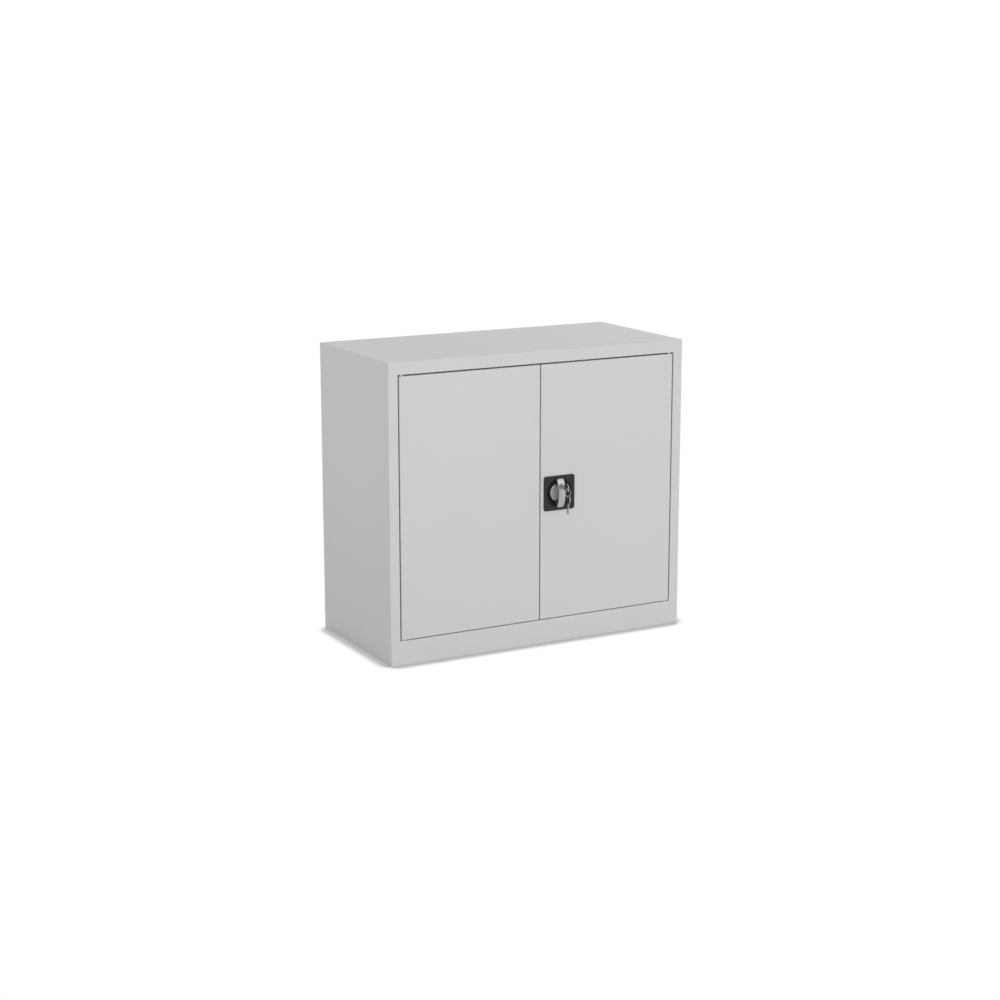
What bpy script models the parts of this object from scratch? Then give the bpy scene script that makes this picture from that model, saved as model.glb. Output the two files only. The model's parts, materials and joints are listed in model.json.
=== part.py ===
"""A low steel cupboard with two hinged doors, one shelf and a turning knob that drives two lock rods.

Lengths are in metres. Seen from the front, +X is to the right, +Y to the back and +Z up. The origin is
on the floor, in the middle of the cupboard's bounding box, keys included. At rest both doors are shut
and the lock is open: the knob stands upright and its rods are drawn in.
"""

import math

import bmesh
import bpy
from mathutils import Matrix, Vector

mm = 0.001

# Driving dimensions of the carcass
width = 800 * mm
depth = 380 * mm
height = 720 * mm
sheet = 0.8 * mm
fold_radius = 1.2 * mm
fold_steps = 3
seat = 0.3 * mm  # left between two pieces that touch
overrun = 5 * mm  # how far a cutter runs past what it cuts
round_steps = 24
small_steps = 16

# The frame round the doors
stile = 25 * mm
rail = 30 * mm
plinth = 60 * mm
frame_depth = 22 * mm
stop_lip = 10 * mm
base_lift = 1 * mm
back_flange = 18 * mm
back_fold = 15 * mm
floor_fold = 12 * mm
notch_clear = 0.1 * mm

# The doors
door_depth = 18 * mm
door_lip = 14 * mm
side_gap = 3 * mm
middle_gap = 2.6 * mm
top_gap = 3.4 * mm
bottom_gap = 2 * mm
stiffener_web = 34 * mm
stiffener_foot = 10 * mm
stiffener_depth = 14 * mm
stiffener_inset = 22 * mm

# The pivot pins and the bushes that they turn in
pin_radius = 2.5 * mm
pin_from_edge = 8 * mm
pin_behind_front = 5 * mm
pin_past_bush = 3 * mm
pin_head_radius = 3.8 * mm
pin_head = 2 * mm
bush_clear = 0.2 * mm
bush_radius = 3.3 * mm
bush_flange_radius = 4.2 * mm
bush_flange = 1.2 * mm
bush_past_sheet = 2 * mm

# The shelf, the slotted rails and the clips that carry it
rail_web = 20 * mm
rail_leg = 8 * mm
rail_behind_frame = 20 * mm
rail_from_back = 60 * mm
slot_width = 12 * mm
slot_height = 4 * mm
slot_first = 65 * mm
slot_pitch = 50 * mm
slot_end = 12 * mm
shelf_slot = 5  # the slot, counted from 0, that the clips hang in
shelf_thick = 25 * mm
shelf_lip = 12 * mm
shelf_side_gap = 2.5 * mm
shelf_behind_front = 32 * mm
shelf_from_back = 8 * mm
clip_plate = 2 * mm
clip_face = 1.4 * mm
clip_reach = 16 * mm
clip_drop = 14 * mm
clip_nib = 4 * mm
clip_hook_past = 2 * mm
clip_slack = 0.5 * mm

# Feet, stop buffers and hole plugs
foot_radius = 9 * mm
foot_stem_radius = 4 * mm
foot_stem = 14 * mm
foot_from_side = 40 * mm
foot_from_face = 12 * mm
buffer_radius = 3.2 * mm
buffer_from_middle = 120 * mm
plug_radius = 7.5 * mm
plug_sunk = 0.1 * mm
plug_barb = 1 * mm
plug_barb_thick = 1.2 * mm
plug_stem_radius = 4.7 * mm
plug_stem = 7 * mm
plug_from_side = 47 * mm
plug_from_face = 62 * mm

# The lock plate, with the round dish that the knob turns in
lock_from_edge = 50.5 * mm
lock_height = 372.5 * mm
plate_side = 85 * mm
plate_corner = 6 * mm
plate_corner_steps = 5
plate_thick = 3 * mm
plate_edge = 0.8 * mm
dish_mouth_radius = 36 * mm
dish_floor_radius = 23 * mm
dish_depth = 12 * mm
dish_wall = 1.5 * mm
dish_skin_clear = 1 * mm
boss_radius = 3 * mm
boss_from_middle = 31 * mm
boss_length = 8 * mm
screw_radius = 1.2 * mm
screw_head_radius = 2.8 * mm
screw_head = 1.8 * mm
screw_grip = 5 * mm

# The lock case behind the dish
case_half_width = 20 * mm
case_half_height = 24 * mm
case_wall = 1.2 * mm
case_ear_end = 36 * mm
case_ear_half = 5 * mm
case_ear_overlap = 0.6 * mm

# The knob: a disc with an upright grip that is arched at its front and drawn in at its foot
disc_radius = 22 * mm
disc_thick = 6.4 * mm
grip_width = 18 * mm
grip_foot_half = 20 * mm
grip_knee_half = 32 * mm
grip_knee_out = 1.2 * mm
grip_end_half = 35.5 * mm
grip_end_out = 5 * mm
grip_tip_half = 34.8 * mm
grip_tip_out = 7 * mm
grip_arch_out = 17 * mm
grip_edge = 1 * mm
grip_arch_steps = 8
disc_overlap = 0.4 * mm
spindle_side = 8 * mm
spindle_clear = 0.3 * mm
spindle_hole_clear = 0.6 * mm

# The pinion on the spindle and the two racks that it drives
teeth = 12
module = 1.5 * mm
tooth_out = 1.1 * mm
tooth_in = 1.7 * mm
tooth_tip_half = 0.45 * mm
tooth_root_half = 1.25 * mm
rack_tooth_out = 1.1 * mm
rack_tooth_in = 1.5 * mm
rack_tip_half = 0.5 * mm
rack_root_half = 1.3 * mm
rack_teeth = 8
rack_back = 5 * mm
pinion_thick = 3.8 * mm
rack_thick = 3 * mm
gear_behind_dish = 1.2 * mm
rack_end = 2 * mm

# The lock rods and their guides
rod_radius = 3 * mm
rod_behind_front = 8 * mm
rod_clear = 0.4 * mm
rod_tip_out = 1 * mm
rod_block_from_lock = 36 * mm
rod_block_height = 12 * mm
rod_block_past_rod = 1 * mm
guide_half_width = 8 * mm
guide_half_height = 7 * mm
guide_depth = 12 * mm

# The tongue behind the doors and the screw that holds it
tongue_thick = 2 * mm
tongue_width = 16 * mm
tongue_reach = 66 * mm
tongue_gap = 0.6 * mm
tongue_screw_radius = 2 * mm
tongue_screw_head_radius = 6 * mm
tongue_screw_head = 2.5 * mm
tongue_screw_grip = 8 * mm

# The cylinder in the grip
cylinder_above_middle = 17 * mm
plug_face_out = 16.5 * mm
housing_radius = 7.5 * mm
housing_wall = 1.7 * mm
housing_back_out = 0.4 * mm
core_length = 18 * mm
turn_clear = 0.3 * mm
keyway_clear = 0.3 * mm

# The keys and their ring
key_thick = 2 * mm
key_blade_half = 4 * mm
key_in_core = 16.5 * mm
key_shank_out = 10 * mm
key_bow_radius = 11 * mm
key_bow_overlap = 1 * mm
key_hole_radius = 2.5 * mm
key_hole_inset = 4 * mm
key_bow_steps = 20
key_bit_depth = 1.6 * mm
key_bits = 3
ring_radius = 7.8 * mm
ring_wire = 0.7 * mm
ring_steps = 28
ring_wire_steps = 8

# Places that follow from the sizes above
pitch_radius = teeth * module / 2
tooth_pitch = math.pi * module
key_bow_out = plug_face_out + key_shank_out + key_bow_radius - key_bow_overlap
key_hole_out = key_bow_out + key_bow_radius - key_hole_inset
reach = key_hole_out + key_bow_radius
left, right = -width / 2, width / 2
front = (reach - depth) / 2
back = front + depth
inside_side = sheet + seat
back_panel_face = back - sheet - seat
back_panel_inside = back_panel_face - sheet
ledge = height - rail
door_low, door_high = plinth + bottom_gap, ledge - top_gap
door_outer = right - stile - side_gap
door_inner = middle_gap / 2
door_back = front + door_depth
pivot_x = door_outer - pin_from_edge
pivot_y = front + pin_behind_front
lock_x, lock_z = door_inner + lock_from_edge, lock_height
dish_floor = front - plate_thick + dish_depth
dish_back = dish_floor + dish_wall
cylinder_z = lock_z + cylinder_above_middle
core_face = front - plug_face_out
rod_y = front + rod_behind_front
gear_front = dish_back + gear_behind_dish

PAINT = ((0.60, 0.60, 0.60), 0.45, 0.0)
BARE_STEEL = ((0.55, 0.55, 0.56), 0.35, 1.0)
CAST_ZINC = ((0.42, 0.42, 0.43), 0.38, 0.85)
BLACK_PLASTIC = ((0.025, 0.025, 0.027), 0.42, 0.0)
GREY_PLASTIC = ((0.56, 0.56, 0.56), 0.5, 0.0)
RUBBER = ((0.03, 0.03, 0.03), 0.8, 0.0)
NICKEL = ((0.6, 0.59, 0.57), 0.25, 1.0)


def clear_scene():
    for obj in list(bpy.data.objects):
        bpy.data.objects.remove(obj, do_unlink=True)


def own_material(name, finish):
    """A Principled BSDF for one piece, with its colour, roughness and metallic value."""
    colour, roughness, metallic = finish
    material = bpy.data.materials.new(name)
    material.use_nodes = True
    shader = material.node_tree.nodes["Principled BSDF"]
    shader.inputs["Base Color"].default_value = (*colour, 1.0)
    shader.inputs["Roughness"].default_value = roughness
    shader.inputs["Metallic"].default_value = metallic
    return material


def add_object(name, bm, finish, smooth=False):
    mesh = bpy.data.meshes.new(name)
    bm.to_mesh(mesh)
    bm.free()
    if smooth:
        mesh.shade_smooth()
        mesh.set_sharp_from_angle(angle=math.radians(35))
    if finish:
        mesh.materials.append(own_material(name, finish))
    obj = bpy.data.objects.new(name, mesh)
    bpy.context.scene.collection.objects.link(obj)
    return obj


def at(axis, u, v, w):
    """A point from its place across and along an axis: u and v follow it in the order X, Y, Z, X, Y."""
    return {"X": (w, u, v), "Y": (v, w, u), "Z": (u, v, w)}[axis]


def box(name, low, high, finish=None):
    bm = bmesh.new()
    bmesh.ops.create_cube(bm, size=1)
    middle = [(a + b) / 2 for a, b in zip(low, high)]
    sides = [b - a for a, b in zip(low, high)]
    bmesh.ops.transform(bm, matrix=Matrix.Translation(middle) @ Matrix.Diagonal((*sides, 1)), verts=bm.verts)
    return add_object(name, bm, finish)


def prism(name, outline, axis, start, end, finish=None, smooth=False):
    """A closed outline, given across the axis, pushed straight along it."""
    bm = bmesh.new()
    face = bm.faces.new([bm.verts.new(at(axis, u, v, start)) for u, v in outline])
    pushed = bmesh.ops.extrude_face_region(bm, geom=[face])["geom"]
    moved = [item for item in pushed if isinstance(item, bmesh.types.BMVert)]
    bmesh.ops.translate(bm, vec=Vector(at(axis, 0, 0, end - start)), verts=moved)
    bmesh.ops.recalc_face_normals(bm, faces=bm.faces)
    return add_object(name, bm, finish, smooth)


def rod(name, axis, u, v, start, end, radius, finish=None, steps=round_steps):
    """A round bar or, with no finish, a round cutter."""
    turn = 2 * math.pi / steps
    outline = [(u + radius * math.cos(i * turn), v + radius * math.sin(i * turn)) for i in range(steps)]
    return prism(name, outline, axis, start, end, finish, smooth=True)


def turned(name, profile, axis, u, v, finish=None, steps=round_steps, ring=False):
    """A profile of (radius, place along the axis) turned round it, solid or as a ring closed on itself."""
    bm = bmesh.new()
    turn = 2 * math.pi / steps
    loops = []
    for radius, along in profile:
        points = [(u + radius * math.cos(i * turn), v + radius * math.sin(i * turn)) for i in range(steps)]
        loops.append([bm.verts.new(at(axis, a, b, along)) for a, b in points])
    pairs = list(zip(loops, loops[1:]))
    if ring:
        pairs.append((loops[-1], loops[0]))
    else:
        bm.faces.new(loops[0])
        bm.faces.new(loops[-1])
    for near, far in pairs:
        for i in range(steps):
            after = (i + 1) % steps
            bm.faces.new((near[i], near[after], far[after], far[i]))
    bmesh.ops.recalc_face_normals(bm, faces=bm.faces)
    return add_object(name, bm, finish, smooth=True)


def bend_and_thicken(obj, thickness, radius=fold_radius):
    """Rounds the folds of an open surface, then gives it a wall on the side away from its normals."""
    bend = obj.modifiers.new("folds", "BEVEL")
    bend.width = radius
    bend.segments = fold_steps
    bend.limit_method = "ANGLE"
    wall = obj.modifiers.new("wall", "SOLIDIFY")
    wall.thickness = thickness
    wall.offset = -1
    wall.use_even_offset = True


def folded_sheet(name, outline, axis, start, end, finish=PAINT):
    """Sheet steel folded along straight lines. Going along the outline, the steel lies on its left."""
    bm = bmesh.new()
    near = [bm.verts.new(at(axis, u, v, start)) for u, v in outline]
    far = [bm.verts.new(at(axis, u, v, end)) for u, v in outline]
    for i in range(len(outline) - 1):
        bm.faces.new((near[i], near[i + 1], far[i + 1], far[i]))
    obj = add_object(name, bm, finish)
    bend_and_thicken(obj, sheet)
    return obj


def pan(name, low, high, lip, open_side, finish=PAINT, thickness=sheet, radius=fold_radius):
    """A shallow box of folded sheet, open on one side, where its rim turns in by a lip."""
    bm = bmesh.new()
    bmesh.ops.create_cube(bm, size=1)
    middle = [(a + b) / 2 for a, b in zip(low, high)]
    sides = [b - a for a, b in zip(low, high)]
    bmesh.ops.transform(bm, matrix=Matrix.Translation(middle) @ Matrix.Diagonal((*sides, 1)), verts=bm.verts)
    bm.normal_update()
    face = max(bm.faces, key=lambda f: f.normal.dot(Vector(open_side)))
    if lip:
        bmesh.ops.inset_region(bm, faces=[face], thickness=lip)
    bmesh.ops.delete(bm, geom=[face], context="FACES_ONLY")
    obj = add_object(name, bm, finish)
    bend_and_thicken(obj, thickness, radius)
    return obj


def combine(obj, tool, operation):
    """Adds, cuts or keeps by a helper shape, which itself stays out of the model."""
    step = obj.modifiers.new(tool.name, "BOOLEAN")
    step.operation = operation
    step.solver = "EXACT"
    step.object = tool
    tool.hide_render = True
    tool.display_type = "WIRE"


def cut(obj, *tools):
    for tool in tools:
        combine(obj, tool, "DIFFERENCE")


def join(obj, *tools):
    for tool in tools:
        combine(obj, tool, "UNION")


def on_pivot(name, place, pieces, parent=None):
    """An empty on a joint's axis, with the pieces that move with it as its children."""
    pivot = bpy.data.objects.new(name, None)
    pivot.empty_display_size = pin_from_edge
    pivot.location = place
    bpy.context.scene.collection.objects.link(pivot)
    bpy.context.view_layer.update()
    children = list(pieces)
    if parent:
        pivot.parent = parent
        pivot.matrix_parent_inverse = parent.matrix_world.inverted()
        bpy.context.view_layer.update()
    for piece in children:
        piece.parent = pivot
        piece.matrix_parent_inverse = pivot.matrix_world.inverted()
    return pivot


def mirror_outline(outline):
    """The same folded outline on the other side of the cupboard, with the steel still on its left."""
    return [(-u, v) for u, v in reversed(outline)]


def side_panels():
    """Each side is one sheet: a rear flange, the side, the door's stile and the jamb behind the stile."""
    outline = [
        (left + back_flange, back),
        (left, back),
        (left, front),
        (left + stile, front),
        (left + stile, front + frame_depth - fold_radius - seat),
    ]
    for side, name in ((1, "left_side_panel"), (-1, "right_side_panel")):
        points = outline if side > 0 else mirror_outline(outline)
        panel = folded_sheet(name, points, "Z", base_lift, height)
        near, far = side * (left + sheet + notch_clear), side * (left + stile + overrun)
        for end, low, high in (
            ("top", ledge - seat, height + overrun),
            ("bottom", base_lift - overrun, plinth + seat),
        ):
            notch = box(
                f"{name}_{end}_notch",
                (min(near, far), front - overrun, low),
                (max(near, far), front + frame_depth + overrun, high),
            )
            cut(panel, notch)
        xs = sorted((near, side * (left + back_flange + overrun)))
        top_low = height - sheet - seat
        flange = (xs[0], back - overrun, top_low), (xs[1], back + overrun, height + overrun)
        cut(panel, box(f"{name}_flange_notch", *flange))


def top_panel():
    """The top folds down into the front rail, back into a ledge over the doors and down into a stop lip."""
    stop_face = front + frame_depth
    outline = [
        (back, height),
        (front, height),
        (front, ledge),
        (stop_face, ledge),
        (stop_face, ledge - stop_lip),
    ]
    panel = folded_sheet("top_panel", outline, "X", left + inside_side, right - inside_side)
    for side in (-1, 1):
        cut(
            panel,
            rod(
                f"top_bush_hole_{side}",
                "Z",
                side * pivot_x,
                pivot_y,
                ledge - overrun,
                ledge + overrun,
                bush_radius + seat,
            ),
        )
    hole_radius = rod_radius + rod_clear
    cut(panel, rod("top_rod_hole", "Z", lock_x, rod_y, ledge - overrun, ledge + overrun, hole_radius))
    for i, (x, y) in enumerate(plug_places()):
        cut(panel, rod(f"plug_hole_{i}", "Z", x, y, height - overrun, height + overrun, plug_radius + seat))


def plug_places():
    return [
        (x, y)
        for x in (left + plug_from_side, right - plug_from_side)
        for y in (front + plug_from_face, back - plug_from_face)
    ]


def base():
    """The plinth in front, its plain twin behind, and the floor that lies between and over them."""
    face = front + frame_depth
    outline = [(face, plinth), (front, plinth), (front, base_lift), (face, base_lift)]
    plinth_front = folded_sheet("plinth_front", outline, "X", left + inside_side, right - inside_side)
    for side in (-1, 1):
        cut(
            plinth_front,
            rod(
                f"bottom_bush_hole_{side}",
                "Z",
                side * pivot_x,
                pivot_y,
                plinth - overrun,
                plinth + overrun,
                bush_radius + seat,
            ),
        )
    hole_radius = rod_radius + rod_clear
    hole = rod("bottom_rod_hole", "Z", lock_x, rod_y, plinth - overrun, plinth + overrun, hole_radius)
    cut(plinth_front, hole)

    rear_face = back_panel_inside - seat
    rear_top = plinth - sheet - seat
    outline = [
        (rear_face - frame_depth, base_lift),
        (rear_face, base_lift),
        (rear_face, rear_top),
        (rear_face - frame_depth, rear_top),
    ]
    plinth_rear = folded_sheet("plinth_rear", outline, "X", left + inside_side, right - inside_side)

    floor_rear = back_panel_inside - seat - sheet
    outline = [
        (floor_rear, plinth + floor_fold),
        (floor_rear, plinth),
        (face + seat, plinth),
        (face + seat, plinth - floor_fold),
    ]
    folded_sheet("floor_panel", outline, "X", left + inside_side, right - inside_side)

    for name, y, carrier in (
        ("front", front + foot_from_face, plinth_front),
        ("rear", rear_face - foot_from_face, plinth_rear),
    ):
        for side, x in (("left", left + foot_from_side), ("right", right - foot_from_side)):
            profile = [
                (foot_radius, 0),
                (foot_radius, base_lift - seat),
                (foot_stem_radius, base_lift - seat),
                (foot_stem_radius, foot_stem),
            ]
            turned(f"foot_{name}_{side}", profile, "Z", x, y, BLACK_PLASTIC, small_steps)
            hole = rod(
                f"foot_hole_{name}_{side}", "Z", x, y, -overrun, base_lift + overrun, foot_stem_radius + seat
            )
            cut(carrier, hole)


def back_panel():
    top = height - sheet - seat
    outline = [(back_panel_face, base_lift), (back_panel_face, top), (back_panel_face - back_fold, top)]
    folded_sheet("back_panel", outline, "X", left + inside_side + seat, right - inside_side - seat)


def slot_heights():
    """The middles of the slots in a shelf rail: as many as fit at the pitch."""
    low, high = plinth + slot_first, ledge - slot_end
    count = 1 + int((high - low) / slot_pitch)
    return [low + i * slot_pitch for i in range(count)]


def shelf_rails():
    """Four slotted channels on the side panels, with a clip hung in one slot of each."""
    wall = left + inside_side
    face = wall + rail_leg
    front_start = front + frame_depth + rail_behind_frame
    rear_start = back - rail_from_back - rail_web
    slot_z = slot_heights()
    hang = slot_z[shelf_slot]
    for place, start in (("front", front_start), ("rear", rear_start)):
        end = start + rail_web
        middle = (start + end) / 2
        outline = [(wall, start), (face, start), (face, end), (wall, end)]
        for name, side in (("left", 1), ("right", -1)):
            points = outline if side > 0 else mirror_outline(outline)
            channel = folded_sheet(f"shelf_rail_{place}_{name}", points, "Z", plinth + seat, ledge)
            for i, z in enumerate(slot_z):
                xs = sorted((side * (face - overrun), side * (face + overrun)))
                slot = box(
                    f"slot_{place}_{name}_{i}",
                    (xs[0], middle - slot_width / 2, z - slot_height / 2),
                    (xs[1], middle + slot_width / 2, z + slot_height / 2),
                )
                cut(channel, slot)
            shelf_clip(f"shelf_clip_{place}_{name}", side, face, middle, hang)


def shelf_clip(name, side, face, middle, hang):
    """A flat tongue under the shelf, with a plate down the rail's face and a nib down inside its slot."""
    half = slot_width / 2 - clip_slack
    inner = face - sheet - clip_hook_past - clip_face
    outline = [
        (face + clip_reach, hang + clip_plate / 2),
        (inner, hang + clip_plate / 2),
        (inner, hang - clip_nib),
        (inner + clip_face, hang - clip_nib),
        (inner + clip_face, hang - clip_plate / 2),
        (face + seat, hang - clip_plate / 2),
        (face + seat, hang - clip_drop),
        (face + seat + clip_face, hang - clip_drop),
        (face + seat + clip_face, hang - clip_plate / 2),
        (face + clip_reach, hang - clip_plate / 2),
    ]
    prism(name, [(z, side * x) for x, z in outline], "Y", middle - half, middle + half, BARE_STEEL)


def shelf():
    end = right - inside_side - rail_leg - shelf_side_gap
    low = slot_heights()[shelf_slot] + clip_plate / 2 + seat
    pan(
        "shelf",
        (-end, front + shelf_behind_front, low),
        (end, back_panel_inside - shelf_from_back, low + shelf_thick),
        shelf_lip,
        (0, 0, -1),
    )


def top_plugs():
    """Plugs that fill their holes just below flush, each held by a barb under the sheet."""
    names = ("front_left", "rear_left", "front_right", "rear_right")
    barb_radius = plug_radius + plug_barb
    barb_high = height - sheet - seat
    barb_low = barb_high - plug_barb_thick
    for name, (x, y) in zip(names, plug_places()):
        profile = [
            (plug_stem_radius, height - plug_stem),
            (plug_stem_radius, barb_low),
            (barb_radius, barb_low),
            (barb_radius, barb_high),
            (plug_radius, barb_high),
            (plug_radius, height - plug_sunk),
        ]
        turned(f"top_plug_{name}", profile, "Z", x, y, GREY_PLASTIC)


def stop_buffers():
    low, high = door_back + seat, front + frame_depth - seat
    z = ledge - stop_lip + buffer_radius + seat
    for name, x in (("left", -buffer_from_middle), ("right", buffer_from_middle)):
        rod(f"door_buffer_{name}", "Y", z, x, low, high, buffer_radius, RUBBER, small_steps)


def bushes_and_pins(side, door):
    """Top and bottom bushes in the frame, and the pins that hang one door in them. Returns the pins."""
    x = pivot_x if side == "right" else -pivot_x
    pins = []
    for end, frame_face, door_face, out in (("top", ledge, door_high, 1), ("bottom", plinth, door_low, -1)):
        bore = pin_radius + bush_clear
        flange_face = frame_face - out * seat
        past = frame_face + out * (sheet + bush_past_sheet)
        profile = [
            (bore, flange_face - out * bush_flange),
            (bush_flange_radius, flange_face - out * bush_flange),
            (bush_flange_radius, flange_face),
            (bush_radius, flange_face),
            (bush_radius, past),
            (bore, past),
        ]
        turned(f"pivot_bush_{end}_{side}", profile, "Z", x, pivot_y, GREY_PLASTIC, ring=True)

        head_face = door_face - out * (sheet + seat)
        tip = past + out * pin_past_bush
        profile = [
            (pin_head_radius, head_face - out * pin_head),
            (pin_head_radius, head_face),
            (pin_radius, head_face),
            (pin_radius, tip),
        ]
        pins.append(turned(f"pivot_pin_{end}_{side}", profile, "Z", x, pivot_y, BARE_STEEL))
        low, high = door_face - overrun, door_face + overrun
        hole = rod(f"pin_hole_{end}_{side}", "Z", x, pivot_y, low, high, pin_radius + seat)
        cut(door, hole)
    return pins


def door_shell(side):
    """A door's folded pan and the hat-shaped stiffener behind its skin."""
    xs = (door_inner, door_outer) if side == "right" else (-door_outer, -door_inner)
    low, high = (xs[0], front, door_low), (xs[1], door_back, door_high)
    door = pan(f"{side}_door_panel", low, high, door_lip, (0, 1, 0))
    middle = (xs[0] + xs[1]) / 2
    foot = front + sheet + seat
    web = foot + stiffener_depth - sheet
    inner, outer = stiffener_web / 2, stiffener_web / 2 + stiffener_foot
    outline = [
        (middle - outer, foot),
        (middle - inner, foot),
        (middle - inner, web),
        (middle + inner, web),
        (middle + inner, foot),
        (middle + outer, foot),
    ]
    stiffener = folded_sheet(
        f"{side}_door_stiffener", outline, "Z", door_low + stiffener_inset, door_high - stiffener_inset
    )
    return door, stiffener


def rounded_square(middle_u, middle_v, side, corner, steps):
    """The outline of a square with round corners, counter-clockwise."""
    points = []
    inner = side / 2 - corner
    for quarter, (su, sv) in enumerate(((1, 1), (-1, 1), (-1, -1), (1, -1))):
        for i in range(steps + 1):
            angle = (quarter + i / steps) * math.pi / 2
            u = middle_u + su * inner + corner * math.cos(angle)
            v = middle_v + sv * inner + corner * math.sin(angle)
            points.append((u, v))
    return points


def lock_plate():
    """The black plate on the door: a rounded square, with a round dish sunk through the skin."""
    plate_front = front - plate_thick
    outline = rounded_square(lock_z, lock_x, plate_side, plate_corner, plate_corner_steps)
    plate = prism("lock_plate", outline, "Y", plate_front, front - seat, BLACK_PLASTIC)
    edge = plate.modifiers.new("edge", "BEVEL")
    edge.width = plate_edge
    edge.segments = 2
    edge.limit_method = "ANGLE"
    edge.angle_limit = math.radians(60)
    slope = (dish_mouth_radius - dish_floor_radius) / dish_depth
    start = plate_front + plate_thick / 2
    bowl = [
        (dish_mouth_radius - slope * (start - plate_front) + dish_wall, start),
        (dish_floor_radius + dish_wall, dish_back),
    ]
    join(plate, turned("dish_outside", bowl, "Y", lock_z, lock_x, None, round_steps * 2))
    for side in (-1, 1):
        x = lock_x + side * boss_from_middle
        join(plate, rod(f"boss_{side}", "Y", lock_z, x, dish_back - boss_length, dish_back, boss_radius))
    hollow = [
        (dish_mouth_radius, plate_front - overrun),
        (dish_mouth_radius, plate_front),
        (dish_floor_radius, dish_floor),
    ]
    cut(plate, turned("dish_inside", hollow, "Y", lock_z, lock_x, None, round_steps * 2))
    spindle_reach = spindle_side / math.sqrt(2) + spindle_hole_clear
    cut(
        plate,
        rod("dish_hole", "Y", lock_z, lock_x, dish_floor - overrun, dish_back + overrun, spindle_reach),
    )
    for side in (-1, 1):
        x = lock_x + side * boss_from_middle
        low = dish_back - screw_grip - seat
        high = dish_back + overrun
        bore_radius = screw_radius + seat
        cut(plate, rod(f"boss_bore_{side}", "Y", lock_z, x, low, high, bore_radius, None, small_steps))
    return plate


def lock_case():
    """A pressed case behind the dish, open to it, with an ear each side for a screw."""
    case_front, case_back = dish_back + seat, door_back
    case = pan(
        "lock_case",
        (lock_x - case_half_width, case_front, lock_z - case_half_height),
        (lock_x + case_half_width, case_back, lock_z + case_half_height),
        0,
        (0, -1, 0),
        BARE_STEEL,
        case_wall,
    )
    screws = []
    ear_back = case_front + case_wall
    for side, name in ((-1, "left"), (1, "right")):
        near = case_half_width - case_wall + case_ear_overlap
        xs = sorted((lock_x + side * near, lock_x + side * case_ear_end))
        ear = box(
            f"case_ear_{name}",
            (xs[0], case_front, lock_z - case_ear_half),
            (xs[1], ear_back, lock_z + case_ear_half),
        )
        join(case, ear)
        x = lock_x + side * boss_from_middle
        bore = screw_radius + seat
        cut(
            case,
            rod(
                f"ear_hole_{name}",
                "Y",
                lock_z,
                x,
                case_front - overrun / 2,
                ear_back + overrun / 2,
                bore,
                None,
                small_steps,
            ),
        )
        head_face = ear_back + seat
        profile = [
            (screw_radius, dish_back - screw_grip),
            (screw_radius, head_face),
            (screw_head_radius, head_face),
            (screw_head_radius, head_face + screw_head),
        ]
        screws.append(turned(f"case_screw_{name}", profile, "Y", lock_z, x, BARE_STEEL, small_steps))
    rack_edge = pitch_radius + rack_tooth_in + rack_back
    for side, name in ((-1, "left"), (1, "right")):
        notch_outer = rack_edge + seat * 2
        notch_inner = pitch_radius - rack_tooth_out - seat
        xs = sorted((lock_x + side * notch_outer, lock_x + side * notch_inner))
        ends = case_half_height - overrun, case_half_height + overrun
        zs = sorted(lock_z - side * end for end in ends)
        notch = box(
            f"rack_notch_{name}",
            (xs[0], case_front - overrun, zs[0]),
            (xs[1], gear_front + rack_thick + seat * 2, zs[1]),
        )
        cut(case, notch)
    hole = rod(
        "case_spindle_hole",
        "Y",
        lock_z,
        lock_x,
        case_back - overrun / 2,
        case_back + overrun,
        spindle_side / math.sqrt(2) + spindle_hole_clear,
    )
    cut(case, hole)
    return [case, *screws]


def knob():
    """The die-cast knob: its disc, the arched grip and the square spindle behind them."""
    disc_front = dish_floor - seat - disc_thick
    steps = round_steps * 2
    disc_rear = dish_floor - seat
    body = rod("lock_knob", "Y", lock_z, lock_x, disc_front, disc_rear, disc_radius, CAST_ZINC, steps)

    foot = disc_front + disc_overlap
    rise = grip_arch_out - grip_tip_out
    under = [
        (grip_foot_half, foot),
        (grip_knee_half, front - grip_knee_out),
        (grip_end_half, front - grip_end_out),
    ]
    outline = [(-z, y) for z, y in under]
    for i in range(grip_arch_steps + 1):
        share = 2 * i / grip_arch_steps - 1
        outline.append((share * grip_tip_half, front - grip_tip_out - rise * (1 - share * share)))
    outline += reversed(under)
    # The grip's outline lies in Y and Z, and it is pushed along X.
    points = [(y, lock_z + z) for z, y in outline]
    grip = prism("knob_grip", points, "X", lock_x - grip_width / 2, lock_x + grip_width / 2)
    edge = grip.modifiers.new("edge", "BEVEL")
    edge.width = grip_edge
    edge.segments = 2
    edge.limit_method = "ANGLE"
    edge.angle_limit = math.radians(40)
    join(body, grip)

    half = spindle_side / 2
    spindle_end = tongue_back()
    spindle = box(
        "knob_spindle",
        (lock_x - half, dish_floor - seat - disc_thick / 2, lock_z - half),
        (lock_x + half, spindle_end, lock_z + half),
    )
    join(body, spindle)
    housing_back = front + housing_back_out + core_length - plug_face_out
    cut(
        body,
        rod(
            "grip_bore",
            "Y",
            cylinder_z,
            lock_x,
            front - grip_arch_out - overrun,
            housing_back + seat,
            housing_radius + seat,
        ),
        rod(
            "spindle_bore",
            "Y",
            lock_z,
            lock_x,
            spindle_end - tongue_screw_grip - seat,
            spindle_end + overrun,
            tongue_screw_radius + seat,
            None,
            small_steps,
        ),
    )
    return body


def tongue_back():
    return door_back + tongue_gap + tongue_thick


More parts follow.
